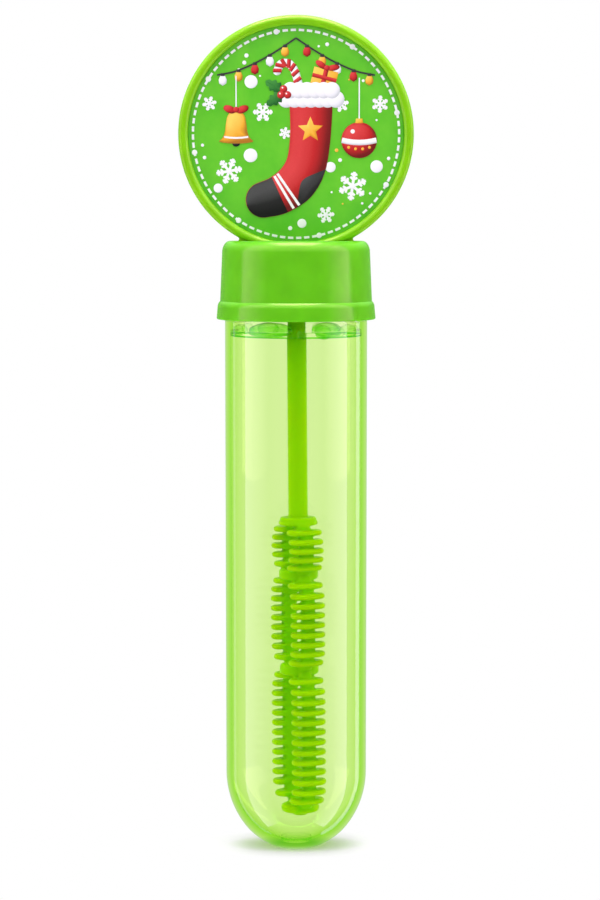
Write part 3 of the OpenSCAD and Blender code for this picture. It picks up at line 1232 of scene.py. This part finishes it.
def print_ground():
    """Snow, dots, fine specks and the ring of stitches."""
    for u, v, r, turn in SNOWFLAKES:
        snowflake((u, v), r, turn)
    for u, v, r in DOTS:
        dot("white", u, v, r, 0.5)
    rng = random.Random(5)
    taken = list(CLEAR_OF) + [(u, v, r) for u, v, r, _ in SNOWFLAKES] + list(DOTS)
    for i in range(SPECKS):
        r = math.sqrt(rng.random()) * SPECK_REACH
        a = rng.random() * 2 * math.pi
        u, v = r * math.cos(a), r * math.sin(a)
        size = rng.uniform(*SPECK_SIZES)
        if all(math.hypot(u - tu, v - tv) > tr + size + SPECK_GAP for tu, tv, tr in taken):
            dot("gold" if i % 4 == 0 else "white", u, v, size, 0.4)
            taken.append((u, v, size))
    pitch = 360 / STITCHES
    for i in range(STITCHES):
        dash = arc((0, 0), STITCH_R, i * pitch, (i + STITCH_SHARE) * pitch, 4)
        stroke("white", [(u, v, STITCH_HALF) for u, v in dash], FLAT)
    for angle in KNOTS:
        dot("white", *ray((0, 0), STITCH_R, angle), 0.42, 0.4)


# Later prints lie over earlier ones
for draw in (
    print_ground, print_lights, print_bell, print_bauble, print_gift, print_cane, print_stocking, print_holly,
):
    draw()
for ink, sheet in sheets.items():
    place(finish_mesh("print_" + ink, sheet), "wand_and_cap", "label_print", ink_mats[ink])


# Stage, light and camera

FLOOR_R = 0.6
FLOOR_GAP = 0.00003
SHADOW_NEAR = 0.006
SHADOW_FAR = 0.018
SHADOW_DEPTH = 0.45
SHADOW_SHARE = 0.68
# Painted green light and shade on the floor near the foot, for the light that comes through the tube
GLOW_NEAR = 0.003
GLOW_FAR = 0.011
PAINTED_GLOW = (0.33, 0.68, 0.02)


def make_floor():
    """A white floor with a soft shadow close to the object, and a painted green glow near the foot for the
    green light and shade that the tube casts there.
    """
    bm = bmesh.new()
    bmesh.ops.create_circle(bm, cap_ends=True, radius=FLOOR_R / MM, segments=96)
    floor = finish_mesh("floor", bm)
    material, tree, shader = new_material("floor")
    tree.nodes.remove(shader)
    coords = node(tree, "ShaderNodeTexCoord")
    flat = node(tree, "ShaderNodeVectorMath", operation="MULTIPLY", Vector=coords.outputs["Object"])
    feed(tree, flat.inputs[1], (1, 1 / SHADOW_DEPTH, 0))
    length = node(tree, "ShaderNodeVectorMath", operation="LENGTH", Vector=flat.outputs["Vector"])
    away = length.outputs["Value"]
    painted_glow = ramp(tree, span(tree, away, 0.0, 1.0, GLOW_NEAR, GLOW_FAR), [(0.0, PAINTED_GLOW), (1.0, WHITE)])
    shadow = span(tree, away, 1 - SHADOW_SHARE, 1.0, SHADOW_NEAR, SHADOW_FAR)
    path = node(tree, "ShaderNodeLightPath").outputs
    # Through the tube the floor shows only emission, so there the painted glow stands in for its shade
    seen = maths(tree, "MULTIPLY_ADD", shadow, path["Is Camera Ray"], path["Is Transmission Ray"])
    surface = node(tree, "ShaderNodeMixShader", Fac=seen)
    diffuse = node(tree, "ShaderNodeBsdfDiffuse", Color=(0.9, 0.9, 0.9, 1))
    white = node(tree, "ShaderNodeEmission", Color=painted_glow, Strength=1.0)
    feed(tree, surface.inputs[1], diffuse.outputs["BSDF"])
    feed(tree, surface.inputs[2], white.outputs["Emission"])
    fill(tree, tree.nodes["Material Output"], Surface=surface.outputs["Shader"])
    floor.data.materials.append(material)
    floor.location.z = -FLOOR_GAP
    floor.visible_glossy = False


ROOM = 0.66
DIM_FRONT = 0.01
DIM_SIDE = 0.12
DIM_BACK = 0.65
BACK_FROM = -0.3
BACK_TINT = (0.46, 0.95, 0.32)
TOP_SHINE = 4.0
TOP_FROM = 0.1
TOP_TO = 0.95


def make_world():
    """A white backdrop where it is seen, an even room for colours and a dim front for reflections."""
    world = bpy.data.worlds.new("studio")
    bpy.context.scene.world = world
    world.use_nodes = True
    tree = world.node_tree
    tree.nodes.clear()
    path = node(tree, "ShaderNodeLightPath").outputs
    glossy = path["Is Glossy Ray"]
    seen = maths(tree, "MAXIMUM", path["Is Camera Ray"], path["Is Transmission Ray"])
    towards = coordinates(tree, "Generated")
    behind = span(tree, towards["Y"], 0.0, 1.0, BACK_FROM, 0.0)
    around = mix(tree, behind, DIM_FRONT, span(tree, towards["Y"], DIM_SIDE, DIM_BACK))
    overhead = span(tree, towards["Z"], 0.0, TOP_SHINE, TOP_FROM, TOP_TO)
    shine = mix(tree, glossy, ROOM, maths(tree, "ADD", around, overhead))
    mirrored = maths(tree, "SUBTRACT", maths(tree, "MULTIPLY", behind, glossy), seen)
    tint = ramp(tree, mirrored, [(0.0, WHITE), (1.0, BACK_TINT)])
    light = node(tree, "ShaderNodeBackground", Color=tint, Strength=mix(tree, seen, shine, 1.0))
    node(tree, "ShaderNodeOutputWorld", Surface=light.outputs["Background"])


def area_lamp(name, azimuth, elevation, distance, width, height, radiance, fade=0, colour=WHITE):
    """A soft box that faces the object's middle, placed by its direction seen from there.

    Its light is even, or rises across its width, to the local right with fade 1 and to the left with -1.
    """
    lamp = bpy.data.lights.new(name, "AREA")
    lamp.shape = "RECTANGLE"
    lamp.size = width
    lamp.size_y = height
    lamp.color = colour
    lamp.energy = radiance * math.pi * width * height
    if fade:
        lamp.use_nodes = True
        tree = lamp.node_tree
        place_on = node(tree, "ShaderNodeNewGeometry").outputs["Parametric"]
        across = node(tree, "ShaderNodeSeparateXYZ", Vector=place_on).outputs["X"]
        low, high = (0.0, 1.0) if fade > 0 else (1.0, 0.0)
        fill(tree, tree.nodes["Emission"], Strength=span(tree, across, low, high))
    obj = bpy.data.objects.new(name, lamp)
    bpy.context.scene.collection.objects.link(obj)
    a, e = math.radians(azimuth), math.radians(elevation)
    aim = Vector((math.sin(a) * math.cos(e), -math.cos(a) * math.cos(e), math.sin(e)))
    middle = Vector((0, 0, cad_hi.z / 2))
    obj.location = middle + aim * distance
    obj.rotation_euler = aim.to_track_quat("Z", "Y").to_euler()
    obj.visible_camera = False
    return obj


# Lamps at the sides: name, azimuth, width, radiance and fade. Those without fade light the tube alone
SIDE_LAMPS = (
    ("left_box", -67, 0.42, 2.9, -1),
    ("right_box", 68, 0.40, 3.4, 1),
    ("left_edge", -119, 0.06, 0.9, 0),
    ("right_edge", 119, 0.10, 2.2, 0),
)
SIDE_TILT = -8
SIDE_DISTANCE = 0.5
SIDE_H = 1.5
BOX_TINT = (0.88, 0.54, 1.0)

make_floor()
make_world()
tube_only = bpy.data.collections.new("tube_only")
tube_only.objects.link(bottle)
for name, azimuth, width, radiance, fade in SIDE_LAMPS:
    lamp = area_lamp(name, azimuth, SIDE_TILT, SIDE_DISTANCE, width, SIDE_H, radiance, fade, BOX_TINT)
    if not fade:
        lamp.light_linking.receiver_collection = tube_only
area_lamp("top_box", azimuth=0, elevation=82, distance=0.55, width=0.4, height=0.4, radiance=7.0)

CAMERA_AT = (0.61, -350, 98.0)
CAMERA_DOWN = 5.71
CAMERA_LENS = 89.9
BOUNCES = 24

camera_data = bpy.data.cameras.new("camera")
camera_data.lens = CAMERA_LENS
camera_data.sensor_width = 36
camera = bpy.data.objects.new("camera", camera_data)
bpy.context.scene.collection.objects.link(camera)
camera.location = Vector(CAMERA_AT) * MM
camera.rotation_euler = (math.radians(90 - CAMERA_DOWN), 0, 0)

scene = bpy.context.scene
scene.camera = camera
scene.view_settings.view_transform = "Standard"
scene.cycles.max_bounces = BOUNCES
scene.cycles.transmission_bounces = BOUNCES
scene.cycles.glossy_bounces = BOUNCES
